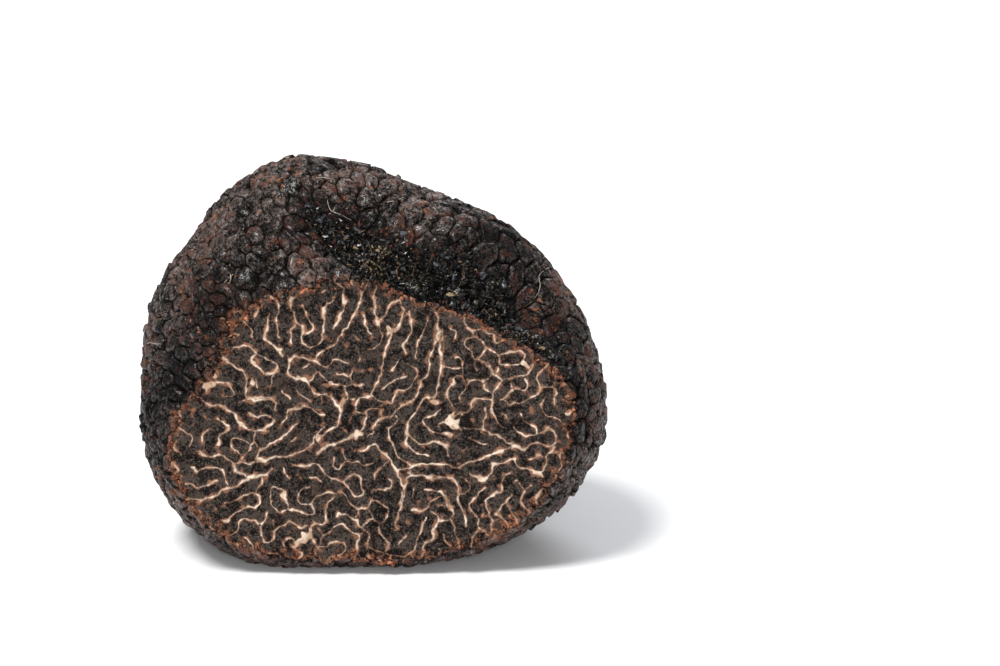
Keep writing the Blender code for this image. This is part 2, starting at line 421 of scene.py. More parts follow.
def points_around_cut(angles, depths):
    """The points of the smooth body at these angles round the cut's middle and depths behind it."""
    across, up, out = cut_axes()
    starts = CUT_POINT - depths[:, None] * out
    turns = np.radians(angles)[:, None]
    ways = np.cos(turns) * across + np.sin(turns) * up
    near, far = np.zeros(len(angles)), np.full(len(angles), BODY_REACH)
    for _ in range(REACH_HALVINGS):
        middle = (near + far) / 2
        from_centre = starts + ways * middle[:, None] - BODY_CENTRE
        inside = np.linalg.norm(from_centre, axis=1) < body_radius(unit(from_centre))
        near, far = np.where(inside, middle, near), np.where(inside, far, middle)
    return starts + ways * near[:, None]


def soil_cover(points, fade=BED_FADE):
    """1 under the bed of soil, falling to 0 a little way outside it."""
    across, up, out = on_cut(points).T
    angles, depths = np.degrees(np.arctan2(up, across)), -out
    stops, nearest, furthest = np.array(SOIL_BED).T
    near, far = np.interp(angles, stops, nearest), np.interp(angles, stops, furthest)
    inside = np.minimum(depths - near, far - depths)
    reach = np.linalg.norm(points - CUT_POINT, axis=1)
    past_ends = np.radians(np.minimum(angles - stops[0], stops[-1] - angles)) * reach
    return smoothstep(np.minimum(inside, past_ends), *fade)


def wart_density(directions):
    """How closely the warts stand: area of skin seen in each direction, over the size wanted there."""
    facing = (body_normals(directions) * directions).sum(-1)
    area = body_radius(directions) ** 2 / np.maximum(facing, 0.2)
    large = np.exp(-((angle_to(directions, direction(*LARGE_WARTS)) / SIZE_SPREAD) ** 2))
    small = np.exp(-((angle_to(directions, direction(*SMALL_WARTS)) / SIZE_SPREAD) ** 2))
    return area * (1 + SIZE_CHANGE * (small - large))


def point_tree(points):
    """A search tree of these points."""
    tree = KDTree(len(points))
    for index, point in enumerate(points):
        tree.insert(point, index)
    tree.balance()
    return tree


def wart_directions():
    """Where the warts stand: drawn at random, then moved apart to the middles of their own patches."""
    draw = np.random.default_rng(SEED)
    spots = unit(draw.normal(size=(SAMPLE_COUNT, 3)))
    density = wart_density(spots)
    spots = spots[draw.choice(SAMPLE_COUNT, SAMPLE_COUNT, p=density / density.sum())]
    warts = spots[draw.choice(SAMPLE_COUNT, WART_COUNT, replace=False)]
    for _ in range(RELAX_ROUNDS):
        tree = point_tree(warts)
        nearest = np.array([tree.find(spot)[1] for spot in spots])
        sums = warts * 1e-6
        np.add.at(sums, nearest, spots)
        warts = unit(sums)
    return warts


def grain(points, size, shift=0.0):
    """Smooth noise of about -0.5 to 0.5 at each point, with waves of about this size."""
    return np.array([noise.noise(Vector(point)) for point in np.asarray(points) / size + shift])


def grains(points, layers):
    """Several grains on top of each other, each given as its share, size and shift."""
    return sum(share * grain(points, size, shift) for share, size, shift in layers)


def flat_points(places):
    """Places on the cut as points of a flat sheet, to read noise at."""
    return np.column_stack((places, np.zeros(len(places))))


def camera_frame():
    """The camera's place and its axes: to the right, up and forward."""
    lean = math.radians(CAMERA_ELEVATION)
    right = np.array((1.0, 0.0, 0.0))
    forward = np.array((0.0, math.cos(lean), -math.sin(lean)))
    up = np.cross(right, forward)
    aside = (ANCHOR_PIXEL - PHOTO_SIZE / 2) * CAMERA_DISTANCE / focal_pixels()
    place = ANCHOR - forward * CAMERA_DISTANCE - right * aside[0] + up * aside[1]
    return place, right, up, forward


def focal_pixels():
    return LENS / SENSOR * PHOTO_SIZE[0]


def pixel_ways(pixels):
    """The direction from the camera through each pixel of the photograph."""
    _, right, up, forward = camera_frame()
    aside = (np.asarray(pixels, float) - PHOTO_SIZE / 2) / focal_pixels()
    return unit(forward + aside[:, :1] * right - aside[:, 1:] * up)


def pixels_on_cut(pixels):
    """The places across and up the cut that these pixels of the photograph show."""
    place, ways = camera_frame()[0], pixel_ways(pixels)
    out = cut_axes()[2]
    reach = ((CUT_POINT - place) @ out) / (ways @ out)
    return on_cut(place + ways * reach[:, None])[:, :2]


def pixels_on_body(pixels):
    """The points of the smooth body that these pixels show."""
    place, ways = camera_frame()[0], pixel_ways(pixels)
    near = np.full(len(ways), CAMERA_DISTANCE - BODY_REACH)
    for _ in range(REACH_STEPS):
        points = place + ways * near[:, None] - BODY_CENTRE
        near = near + np.linalg.norm(points, axis=1) - body_radius(unit(points))
    return place + ways * near[:, None]


def pixels_on_piece(piece, pixels, lift):
    """The points of a finished piece that these pixels show, lifted off it, in millimetres."""
    place = camera_frame()[0]
    points = []
    for way in pixel_ways(pixels):
        found, point, normal, _ = piece.ray_cast(Vector(place * MM), Vector(way))
        if not found:
            raise RuntimeError(f"{piece.name} isn't seen through the pixels {pixels}")
        points.append(np.array(point) / MM + np.array(normal) * lift)
    return np.array(points)


def values(items, name, width=1, kind=float):
    """One property of all of a mesh's items, as an array."""
    array = np.empty(len(items) * width, kind)
    items.foreach_get(name, array)
    return array.reshape(-1, width) if width > 1 else array


def mark(mesh, name, numbers):
    """Writes a number, or a vector, for each point of a mesh as an attribute."""
    numbers = np.asarray(numbers, np.float32)
    kind, field = ("FLOAT", "value") if numbers.ndim == 1 else ("FLOAT_VECTOR", "vector")
    layer = mesh.attributes.get(name) or mesh.attributes.new(name, kind, "POINT")
    layer.data.foreach_set(field, numbers.ravel())


def marked(mesh, name):
    layer = mesh.attributes[name]
    vector = layer.data_type == "FLOAT_VECTOR"
    return values(layer.data, "vector" if vector else "value", 3 if vector else 1)


def place_points(mesh, points):
    mesh.vertices.foreach_set("co", np.asarray(points, np.float32).ravel())
    mesh.update()


def pick_edges(mesh, chosen):
    """Selects these edges and nothing else of a mesh."""
    mesh.polygons.foreach_set("select", np.zeros(len(mesh.polygons), bool))
    mesh.edges.foreach_set("select", chosen)
    mesh.vertices.foreach_set("select", np.zeros(len(mesh.vertices), bool))


def make_active(piece):
    bpy.ops.object.select_all(action="DESELECT")
    piece.select_set(True)
    bpy.context.view_layer.objects.active = piece


@contextmanager
def editing(piece, select="VERT", whole=True):
    """Edit mode on one piece, by points, edges or faces, with the whole mesh selected or as it was."""
    make_active(piece)
    bpy.context.tool_settings.mesh_select_mode = [select == kind for kind in ("VERT", "EDGE", "FACE")]
    bpy.ops.object.mode_set(mode="EDIT")
    if whole:
        bpy.ops.mesh.select_all(action="SELECT")
    yield
    bpy.ops.object.mode_set(mode="OBJECT")


def new_piece(name, points, faces=()):
    mesh = bpy.data.meshes.new(name)
    mesh.from_pydata([tuple(point) for point in points], [], [tuple(face) for face in faces])
    piece = bpy.data.objects.new(name, mesh)
    bpy.context.scene.collection.objects.link(piece)
    return piece


def finish_piece(piece, material, smooth=True, replaced=()):
    """Turns the faces outwards, scales the piece to metres and ties it to the frame."""
    with editing(piece):
        bpy.ops.mesh.normals_make_consistent(inside=False)
    place_points(piece.data, values(piece.data.vertices, "co", 3) * MM)
    piece.data.polygons.foreach_set("use_smooth", np.full(len(piece.data.polygons), smooth))
    piece.data.materials.clear()
    piece.data.materials.append(material)
    piece.data.update()
    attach(piece, BODY)
    if replaced:
        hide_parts(*replaced)


class Socket:
    """A node's output, so that shader maths reads as plain sums."""

    def __init__(self, shade, socket):
        self.shade = shade
        self.socket = socket

    def math(self, operation, other=0.0):
        inputs = {"Value": self, "Value_001": other}
        return self.shade.node("Math", {"operation": operation}, inputs)["Value"]

    def __add__(self, other):
        return self.math("ADD", other)

    def __mul__(self, other):
        return self.math("MULTIPLY", other)

    def __sub__(self, other):
        return self.math("SUBTRACT", other)

    def __rsub__(self, other):
        return (self * -1.0) + other

    __radd__, __rmul__ = __add__, __mul__

    def step(self, low, high):
        """0 below the low end, 1 above the high end, and a smooth rise between."""
        settings = {"interpolation_type": "SMOOTHSTEP", "clamp": True}
        inputs = {"Value": self, "From Min": low, "From Max": high}
        return self.shade.node("MapRange", settings, inputs)["Result"]

    def swing(self, amount):
        """A noise of 0 to 1 turned into one about 0, by this much in all."""
        return (self - 0.5) * amount

    def greater(self, other):
        return self.math("MAXIMUM", other)


class Shade:
    """Builds the nodes of one material."""

    def __init__(self, name):
        self.material = bpy.data.materials.new(name)
        self.material.use_nodes = True
        self.tree = self.material.node_tree
        self.tree.nodes.clear()

    def node(self, kind, settings, inputs):
        """Adds a node with these settings and inputs, and gives its outputs by name."""
        node = self.tree.nodes.new("ShaderNode" + kind)
        for name, value in settings.items():
            setattr(node, name, value)
        sockets = {socket.identifier: socket for socket in node.inputs}
        for name, value in inputs.items():
            if isinstance(value, Socket):
                self.tree.links.new(value.socket, sockets[name])
            else:
                sockets[name].default_value = value
        return {output.identifier: Socket(self, output) for output in node.outputs}

    def place(self):
        return self.node("TexCoord", {}, {})["Object"]

    def attribute(self, name):
        return self.node("Attribute", {"attribute_name": name}, {})["Fac"]

    def noise(self, size_mm, detail=2.0, roughness=0.5, distortion=0.0):
        """Noise from 0 to 1 with waves of about this size."""
        inputs = {"Vector": self.place(), "Scale": 1 / (size_mm * MM), "Detail": detail}
        inputs.update(Roughness=roughness, Distortion=distortion)
        return self.node("TexNoise", {}, inputs)["Fac"]

    def mix(self, share, first, second):
        """The first colour where the share is 0 and the second where it is 1."""
        inputs = {"Factor_Float": share}
        for name, colour in (("A_Color", first), ("B_Color", second)):
            inputs[name] = colour if isinstance(colour, Socket) else (*colour, 1.0)
        return self.node("Mix", {"data_type": "RGBA"}, inputs)["Result_Color"]

    def ridges(self, size_mm):
        """1 along the crests of fine wrinkles, falling to 0 between them."""
        wave = self.noise(size_mm, 3.0, 0.6, 0.4)
        return 1 - wave.swing(6.0).math("ABSOLUTE").math("MINIMUM", 1.0)

    def bump(self, height, distance_mm):
        return self.node("Bump", {}, {"Height": height, "Distance": distance_mm * MM})["Normal"]

    def finish(self, colour, roughness, normal=None, **others):
        """Ends the material in one shader, with other inputs by name."""
        inputs = {"Base Color": colour, "Roughness": roughness}
        if normal is not None:
            inputs["Normal"] = normal
        inputs.update({name.replace("_", " "): value for name, value in others.items()})
        shader = self.node("BsdfPrincipled", {}, inputs)["BSDF"]
        self.node("OutputMaterial", {}, {"Surface": shader})
        return self.material


# Dull surfaces: hardly any shine of their own, with glints from a coat
MATT = {"Specular_IOR_Level": 0.06, "Coat_Roughness": 0.32}
WET = {"Specular_IOR_Level": 0.06, "Coat_Roughness": 0.2}


def colour_setting(name, description, default):
    return FloatVectorProperty(
        name=name, description=description, default=default, size=3, min=0, max=1, subtype="COLOR"
    )


def length_setting(name, description, default):
    """A length in millimetres."""
    return FloatProperty(name=name, description=description + ", in millimetres", default=default, min=0)


class SkinSettings(bpy.types.PropertyGroup):
    rise: length_setting("Wart rise", "How far a wart's middle stands out at most", 0.62)
    furrow: length_setting("Furrow depth", "How deep the furrows run at most", 0.60)
    tilt: FloatProperty(name="Wart tilt", description="Slope of a wart's top", default=0.16, min=0)
    wrinkle: length_setting("Wrinkle height", "Height of the small wrinkles on the warts", 0.10)
    colour: colour_setting("Skin colour", "The warts", (0.0055, 0.0041, 0.0037))
    pale_colour: colour_setting("Pale skin colour", "Paler parts of the warts", (0.250, 0.192, 0.170))
    # The furrows' colour is painted shade in the recesses between warts, a little darker than the skin's
    # own near-black
    furrow_shade_colour: colour_setting("Furrow colour", "The furrows", (0.0028, 0.0022, 0.0021))
    worn_colour: colour_setting("Worn colour", "Red-brown where a wart is rubbed", (0.150, 0.048, 0.032))
    raw_colour: colour_setting("Raw colour", "Orange where the skin is broken", (0.50, 0.190, 0.090))
    # This colour serves real dust and also painted highlights along the wart borders and painted glints
    dust_and_highlight_colour: colour_setting("Dust colour", "Fine pale specks", (0.42, 0.37, 0.33))


class CutSettings(bpy.types.PropertyGroup):
    cell: length_setting("Cell size", "Distance between the points of the face", 0.155)
    vein_width: length_setting("Vein width", "Half-width of a fine vein", 0.076)
    main_width: length_setting("Main vein width", "Half-width of a main vein", 0.086)
    relief: length_setting("Vein relief", "How far the veins stand out of the flesh", 0.03)
    flesh_colour: colour_setting("Flesh colour", "The dark flesh", (0.070, 0.053, 0.044))
    pit_colour: colour_setting("Pit colour", "Small dark pits in the flesh", (0.0040, 0.0028, 0.0024))
    glint_colour: colour_setting("Glint colour", "Small pale glints in the flesh", (0.26, 0.24, 0.22))
    stain_colour: colour_setting("Stain colour", "Browner patches of the flesh", (0.052, 0.030, 0.022))
    vein_colour: colour_setting("Vein colour", "The veins' middles", (0.90, 0.75, 0.60))
    dull_colour: colour_setting("Dull vein colour", "Veins that are less pale", (0.47, 0.28, 0.165))
    edge_colour: colour_setting("Vein edge colour", "The veins' borders", (0.25, 0.120, 0.075))
    crust_colour: colour_setting("Crust colour", "The red-brown rim", (0.16, 0.060, 0.033))
    crumb_colour: colour_setting("Torn crust colour", "Orange bits of the rim", (0.52, 0.210, 0.110))


class SoilSettings(bpy.types.PropertyGroup):
    thickness: length_setting("Bed thickness", "Thickness of the bed in its middle", 1.25)
    crumbs: IntProperty(name="Crumbs", description="Number of crumbs", default=6500, min=1)
    fibres: IntProperty(name="Fibres", description="Number of fibres", default=170, min=1)
    flakes: IntProperty(name="Flakes", description="Number of flakes", default=26, min=1)
    crumb_size: length_setting("Crumb size", "Radius of the largest crumbs", 0.56)
    black: colour_setting("Soil colour", "Most of the soil", (0.0030, 0.0027, 0.0027))
    grey: colour_setting("Glint colour", "Blue-grey crumbs", (0.105, 0.108, 0.120))
    tan: colour_setting("Tan colour", "Pale brown crumbs", (0.28, 0.205, 0.120))
    rust: colour_setting("Rust colour", "Orange-brown crumbs", (0.20, 0.055, 0.035))


class HairSettings(bpy.types.PropertyGroup):
    radius: length_setting("Hair radius", "Half the thickness of a root hair", 0.044)
    colour: colour_setting("Hair colour", "The root hairs", (0.55, 0.49, 0.41))


class StageSettings(bpy.types.PropertyGroup):
    floor_size: FloatProperty(
        name="Floor size", description="Width of the floor", default=5.0, min=0.5, unit="LENGTH"
    )
    floor_colour: colour_setting("Floor colour", "The pale floor", (0.92, 0.93, 0.95))
    sky: FloatProperty(name="Sky strength", description="Soft light all round", default=0.345, min=0)
    key: FloatProperty(name="Key strength", description="Power of the main lamp", default=10.0, min=0)


class TRUFFLE_OT_skin(bpy.types.Operator):
    """Grow the warty skin, cut off its end and close it behind the cut"""

    bl_idname = "truffle.skin"
    bl_label = "Skin"

    def execute(self, context):
        settings = context.scene.truffle_skin
        skin = self.wart_ball()
        self.shape(skin, settings)
        self.cut(skin)
        finish_piece(skin, skin_material(settings), replaced=("truffle",))
        return {"FINISHED"}

    def wart_ball(self):
        """A ball of warts, each a fan of faces from its middle to its corners, divided finely."""
        warts = wart_directions()
        ball = new_piece("truffle_skin", warts)
        with editing(ball):
            bpy.ops.mesh.convex_hull(join_triangles=False)
            bpy.ops.mesh.select_all(action="SELECT")
            bpy.ops.mesh.poke()
        ends = values(ball.data.edges, "vertices", 2, int)
        pick_edges(ball.data, (ends < WART_COUNT).all(1))
        with editing(ball, "EDGE", whole=False):
            bpy.ops.mesh.edge_rotate()
        points = unit(values(ball.data.vertices, "co", 3))
        place_points(ball.data, points)
        middle = (np.arange(len(points)) < WART_COUNT).astype(float)
        mark(ball.data, "middle", middle)
        mark(ball.data, "home", points * middle[:, None])
        with editing(ball):
            bpy.ops.mesh.subdivide(number_cuts=3)
        return ball

    def shape(self, ball, settings):
        """Moves the ball's points out to the body's surface with its warts, and down to the floor."""
        mesh = ball.data
        points, middle = values(mesh.vertices, "co", 3), marked(mesh, "middle")
        inside, apex = middle > TINY, middle > 1 - TINY
        homes = np.where(inside[:, None], marked(mesh, "home") / np.maximum(middle, TINY)[:, None], points)
        out = np.interp(1 - middle, *WART_RINGS)
        spread = (out / np.maximum(1 - middle, TINY))[:, None]
        points = np.where(apex[:, None], homes, homes + (points - homes) * spread)
        sway = [grains(points, layers) for layers in SWAY_GRAINS]
        ways = unit(unit(points) + SWAY * np.column_stack(sway))
        tree = point_tree(unit(homes[apex]))
        wart = np.array([tree.find(home)[1] for home in unit(homes)])
        draw = np.random.default_rng(SEED)
        count = int(apex.sum())
        lift, tint = draw.uniform(0, 1, count), draw.uniform(0, 1, count)
        tilt = draw.normal(size=(count, 3)) * settings.tilt
        ground = body_points(ways)
        height = np.interp(out, *WART_PROFILE)
        share = np.clip(0.5 + grain(ways, 1 / RELIEF_GRAIN), 0, 1)
        rise = settings.rise * (LEAST_RISE + (1 - LEAST_RISE) * (share + lift[wart]) / 2)
        deep = smoothstep(grains(ground, FURROW_GRAINS), *FURROW_FADE)
        depth = settings.furrow * (LEAST_FURROW + (1 - LEAST_FURROW) * deep)
        reach = np.linalg.norm(ground - BODY_CENTRE, axis=1)
        lean = (tilt[wart] * (ways - unit(homes))).sum(1) * reach * np.where(inside, 1, 0)
        from_crease = sum(slope * abs(grain(ground, size, shift)) for slope, size, shift in CREASE_GRAINS)
        creases = np.maximum(CREASE_WIDTH - from_crease, 0) * CREASE_DEPTH
        wrinkle = grain(ground, *WRINKLE_GRAIN) - creases * height
        relief = height * (rise + depth + lean) - depth + settings.wrinkle * wrinkle
        relief *= 1 - soil_cover(ground)
        points = ground + body_normals(ways) * relief[:, None]
        points[:, 2] = np.maximum(points[:, 2], 0)
        place_points(mesh, points)
        # Darker near the soil bed, from real soil dirt, and painted shade round the listed spots where the
        # skin lies in shadow
        dirt_and_shade = soil_cover(ground, DIRT_FADE)
        for pixel, reach in PAINTED_SHADE_SPOTS:
            gap = np.linalg.norm(ground - pixels_on_body([pixel])[0], axis=1)
            dirt_and_shade = np.maximum(dirt_and_shade, np.exp(-((gap / reach) ** 2)))
        mark(mesh, "dirt_and_shade", dirt_and_shade)
        mark(mesh, "height", height)
        mark(mesh, "tint", np.where(inside, tint[wart], 0.5))

    def cut(self, skin):
        """Slices the end off, closes it with a flat face and numbers the points round its rim."""
        with editing(skin, "EDGE"):
            middle, out = tuple(CUT_POINT), tuple(cut_axes()[2])
            bpy.ops.mesh.bisect(plane_co=middle, plane_no=out, clear_outer=True, threshold=CUT_SNAP)
            bpy.ops.mesh.select_all(action="SELECT")
            bpy.ops.mesh.delete_loose(use_faces=False)
            bpy.ops.mesh.select_all(action="DESELECT")
            bpy.ops.mesh.select_non_manifold()
            bpy.ops.mesh.fill_holes(sides=0)
        mesh = skin.data
        for name in ("middle", "home"):
            mesh.attributes.remove(mesh.attributes[name])
        rim = list(max(mesh.polygons, key=lambda face: face.loop_total).vertices)
        points = values(mesh.vertices, "co", 3)
        places = on_cut(points)
        places[:, 2] = np.where(places[:, 2] > -CUT_SNAP, 0, places[:, 2])
        place_points(mesh, off_cut(places))
        order = np.zeros(len(points))
        order[rim] = np.arange(1, len(rim) + 1)
        mark(mesh, "order", order)
        mark(mesh, "rim", np.clip(-places[:, 2], 0, RIM_REACH))
        with editing(skin, "FACE"):
            bpy.ops.mesh.quads_convert_to_tris()


def skin_material(settings):
    """Black-brown warts with furrows darkened by painted shade, rubbed red-brown patches, fine pale dust
    mixed with painted glints and highlights, dirt near the soil and painted shade in shaded spots.
    """
    shade = Shade("warty_skin")
    height, tint, behind = shade.attribute("height"), shade.attribute("tint"), shade.attribute("rim")
    # The dirt_and_shade attribute holds real dirt near the soil and painted shade round shaded spots
    dirt_and_shade = shade.attribute("dirt_and_shade")
    broad, mottle = shade.noise(6.0, 2.0), shade.noise(1.3, 3.0, 0.6)
    fine, grit = shade.noise(0.50, 4.0, 0.68), shade.noise(0.17, 2.0, 0.6)
    ridge, patch = shade.ridges(0.85), shade.noise(0.42, 2.0, 0.6)
    # The same fine relief drives the bump and the pale share, so raised grain is paler and its low spots
    # darker: painted shade of the fine relief, on top of the skin's own mottling
    rough = fine * 0.60 + grit * 0.26 + ridge * 0.14
    # Painted shade: the furrows between warts, where the height falls to 0, are darkened
    furrow = 1 - (height + rough.swing(0.6) + mottle.swing(0.75)).step(0.08, 0.74)
    pale = rough + mottle.swing(0.45) + tint.swing(0.08) + broad.swing(0.40) + patch.swing(0.35)
    pale = (pale - dirt_and_shade * 0.12).step(0.41, 0.69) * (1 - dirt_and_shade * 0.5)
    colour = shade.mix(pale, settings.colour, settings.pale_colour)
    # Painted highlight: thin pale lines along the wart borders, just inside the furrows
    edge = height.step(0.55, 0.75) * (1 - height.step(0.80, 0.96)) * mottle.step(0.46, 0.60)
    colour = shade.mix(edge * (fine.step(0.35, 0.6) * 0.55), colour, settings.dust_and_highlight_colour)
    worn = shade.noise(1.5, 3.0, 0.6) + rough.swing(0.45) + tint.swing(0.1) + broad.swing(0.35)
    worn = worn.step(0.53, 0.64) * height.step(0.2, 0.8)
    colour = shade.mix(worn * 0.68, colour, settings.worn_colour)
    raw = shade.noise(1.05, 3.0, 0.6) + broad.swing(0.4) + grit.swing(0.3)
    raw = raw.step(0.62, 0.71) * height.step(0.3, 0.8)
    near = 1 - (behind + mottle.swing(1.4) + rough.swing(1.6)).step(0.0, 0.8)
    near = near * (fine * 0.5 + broad + mottle.swing(0.6)).step(0.68, 0.94)
    colour = shade.mix((raw * 0.8).greater(near * 0.75), colour, settings.raw_colour)
    # Fine pale specks, partly real dust and partly painted glints
    specks = shade.noise(0.16, 1.0).step(0.66, 0.77) * 0.85
    colour = shade.mix(specks, colour, settings.dust_and_highlight_colour)
    # Painted shade: the furrows and the shaded spots are darkened to the furrow colour, along with the
    # dirt near the soil
    dark = furrow.greater(dirt_and_shade * (patch + rough.swing(0.8)).step(0.26, 0.54) * 0.9)
    colour = shade.mix(dark * 0.96, colour, settings.furrow_shade_colour)
    roughness = 0.62 + fine.swing(0.4)
    glint = 0.04 + (grit + fine.swing(0.9)).step(0.50, 0.64) * height.step(0.3, 0.9) * 0.8
    normal = shade.bump(rough * 2.0 + patch * 1.0 + ridge * 0.35 + shade.noise(0.8, 2.0) * 0.9, 0.72)
    return shade.finish(colour, roughness, normal, Coat_Weight=glint, **MATT)


def polygon_rows(outline, cell):
    """Points in staggered rows inside an outline."""
    after = np.roll(outline, -1, axis=0)
    low, high = outline.min(0), outline.max(0)
    rows = []
    for row, y in enumerate(np.arange(low[1], high[1], cell * math.sqrt(0.75))):
        crossed = (outline[:, 1] > y) != (after[:, 1] > y)
        a, b = outline[crossed], after[crossed]
        ends = np.sort(a[:, 0] + (y - a[:, 1]) / (b[:, 1] - a[:, 1]) * (b[:, 0] - a[:, 0]))
        for left, right in zip(ends[::2], ends[1::2]):
            x = np.arange(low[0] + (row % 2) * cell / 2, high[0], cell)
            x = x[(x > left + cell / 2) & (x < right - cell / 2)]
            rows.append(np.column_stack((x, np.full(len(x), y))))
    return np.vstack(rows)


def along_line(line, step):
    """Points at even steps along a line of corners."""
    line = np.asarray(line, float)
    lengths = np.concatenate(([0], np.cumsum(np.linalg.norm(np.diff(line, axis=0), axis=1))))
    at = np.linspace(0, lengths[-1], max(2, int(lengths[-1] / step) + 1))
    return np.column_stack([np.interp(at, lengths, column) for column in line.T])


def blur(grid, spread):
    """The grid smoothed by a bell of this many cells."""
    down, across = np.fft.fftfreq(grid.shape[0])[:, None], np.fft.rfftfreq(grid.shape[1])[None]
    bell = np.exp(-2 * (math.pi * spread) ** 2 * (down**2 + across**2))
    return np.fft.irfft2(np.fft.rfft2(grid) * bell, grid.shape)


def rough_grid(draw, shape, spread):
    """Smooth noise on a grid, about 1 either way."""
    rough = blur(draw.normal(size=shape), spread)
    return rough / rough.std()


def grow_veins(lines):
    """Grows the pattern of fine veins round the main ones, on a grid over the cut."""
    (left, right), (bottom, top) = VEIN_BOX
    shape = (int((top - bottom) / VEIN_STEP), int((right - left) / VEIN_STEP))
    pins = np.zeros(shape)
    for line in lines:
        cells = np.rint((along_line(line, VEIN_STEP / 2) - (left, bottom)) / VEIN_STEP).astype(int)
        inside = ((cells >= 0) & (cells < (shape[1], shape[0]))).all(1)
        pins[cells[inside, 1], cells[inside, 0]] = 1
    draw = np.random.default_rng(SEED)
    seed_grain, seed_limit, seed_level, starved = VEIN_START
    grown = seed_level * (rough_grid(draw, shape, seed_grain) > seed_limit)
    grown = np.maximum(grown, VEIN_HOLD[0] * pins)
    food = 1 - starved * (grown > 0.1)
    hold = VEIN_HOLD[1] * pins
    feed = VEIN_FEED + VEIN_VARY * rough_grid(draw, shape, VEIN_VARY_GRAIN)
    loss = feed + VEIN_KILL + VEIN_VARY * rough_grid(draw, shape, VEIN_VARY_GRAIN)
    food, grown, hold, feed, loss = (np.float32(grid) for grid in (food, grown, hold, feed, loss))

    def spread_out(grid):
        wide = np.pad(grid, 1, mode="edge")
        sides = wide[:-2, 1:-1] + wide[2:, 1:-1] + wide[1:-1, :-2] + wide[1:-1, 2:]
        corners = wide[:-2, :-2] + wide[:-2, 2:] + wide[2:, :-2] + wide[2:, 2:]
        return 0.2 * sides + 0.05 * corners - grid

    for _ in range(VEIN_ROUNDS):
        eaten = food * grown * grown
        food = food + VEIN_SPREAD * spread_out(food) - eaten + feed * (1 - food)
        grown = grown + VEIN_SPREAD / 2 * spread_out(grown) + eaten - loss * grown
        grown = np.maximum(grown, hold)
    return grown


def read_grid(grid, places):
    """The grid's value at places on the cut, between its four nearest cells."""
    at = (places - np.array([ends[0] for ends in VEIN_BOX])) / VEIN_STEP
    at = np.clip(at, 0, np.array(grid.shape[::-1]) - 1.001)
    cell = at.astype(int)
    x, y = (at - cell).T
    column, row = cell.T
    low = grid[row, column] * (1 - x) + grid[row, column + 1] * x
    high = grid[row + 1, column] * (1 - x) + grid[row + 1, column + 1] * x
    return low * (1 - y) + high * y


def knots(flat):
    """1 where a vein swells into a knot, 0 along its thin stretches."""
    return smoothstep(grains(flat, KNOT_GRAINS), *KNOT_FADE)


def fine_veins(grown, places, width):
    """How far inside a fine vein each place lies, in millimetres, below 0 outside the veins."""
    smooth = blur(grown, VEIN_BLUR)
    level = np.sqrt(blur(smooth**2, 8))
    smooth = smooth / np.percentile(smooth, CREST_PERCENT) / (0.6 + 0.4 * level / level.mean())
    slope_y, slope_x = np.gradient(smooth)
    bend_xy, bend_xx = np.gradient(slope_x)
    bend_yy = np.gradient(slope_y)[0]
    peak, gx, gy, xx, xy, yy = (
        read_grid(grid, places) for grid in (smooth, slope_x, slope_y, bend_xx, bend_xy, bend_yy)
    )
    spread, middle = np.hypot((xx - yy) / 2, xy), (xx + yy) / 2
    bend, other = middle - spread, middle + spread
    turn = np.arctan2(bend - xx, xy + 1e-9)
    to_crest = np.abs(gx * np.cos(turn) + gy * np.sin(turn)) / np.maximum(-bend, 0.004) * VEIN_STEP
    fall = np.abs(gy * np.cos(turn) - gx * np.sin(turn)) / np.maximum(peak, 0.1)
    wide = width * (0.35 + 0.9 * smoothstep(peak, *CREST_WIDE)) * (1 + 1.5 * knots(flat_points(places)))
    shown = smoothstep(peak, *CREST_HEIGHT) * smoothstep(-bend, *CREST_BEND)
    shown *= 1 - smoothstep(other / np.minimum(bend, -0.001), *CREST_ROUND)
    shown *= 1 - smoothstep(fall, *CREST_FALL)
    return np.maximum(wide - to_crest - 0.45 * (1 - shown), np.minimum((peak - KNOT_PEAK) * 0.8, 0.3))


def main_veins(lines, places, width):
    """How far inside a main vein each place lies, in millimetres, below 0 outside the veins."""
    near = np.full(len(places), 1e9)
    for line in lines:
        for a, b in zip(line, line[1:]):
            along = np.clip((places - a) @ (b - a) / ((b - a) @ (b - a)), 0, 1)
            gap = places - a - along[:, None] * (b - a)
            near = np.minimum(near, (gap**2).sum(1))
    flat = flat_points(places)
    return width * (0.75 + 0.5 * grain(flat, 1.5, 4.0) + 0.8 * knots(flat)) - np.sqrt(near)


def vein_depths(places, settings):
    """How far inside a vein each place on the cut lies, in millimetres, below 0 in the flesh."""
    flat = flat_points(places)
    warped = places + np.column_stack([
        VEIN_WARP[0] * grain(flat, 2.1, shift) + VEIN_WARP[1] * grain(flat, 0.75, shift)
        for shift in (11.0, 23.0)
    ])
    lines = [pixels_on_cut(line) for line in VEINS]
    depths = np.maximum(
        fine_veins(grow_veins(lines), warped, settings.vein_width),
        main_veins(lines, warped, settings.main_width),
    )
    for pixel, radius in PATCHES:
        gap = np.linalg.norm(warped - pixels_on_cut([pixel])[0], axis=1)
        depths = np.maximum(depths, radius * (0.75 - 1.5 * grain(flat, 0.8, 31.0)) - gap)
    return np.clip(depths, -0.7, 0.5)


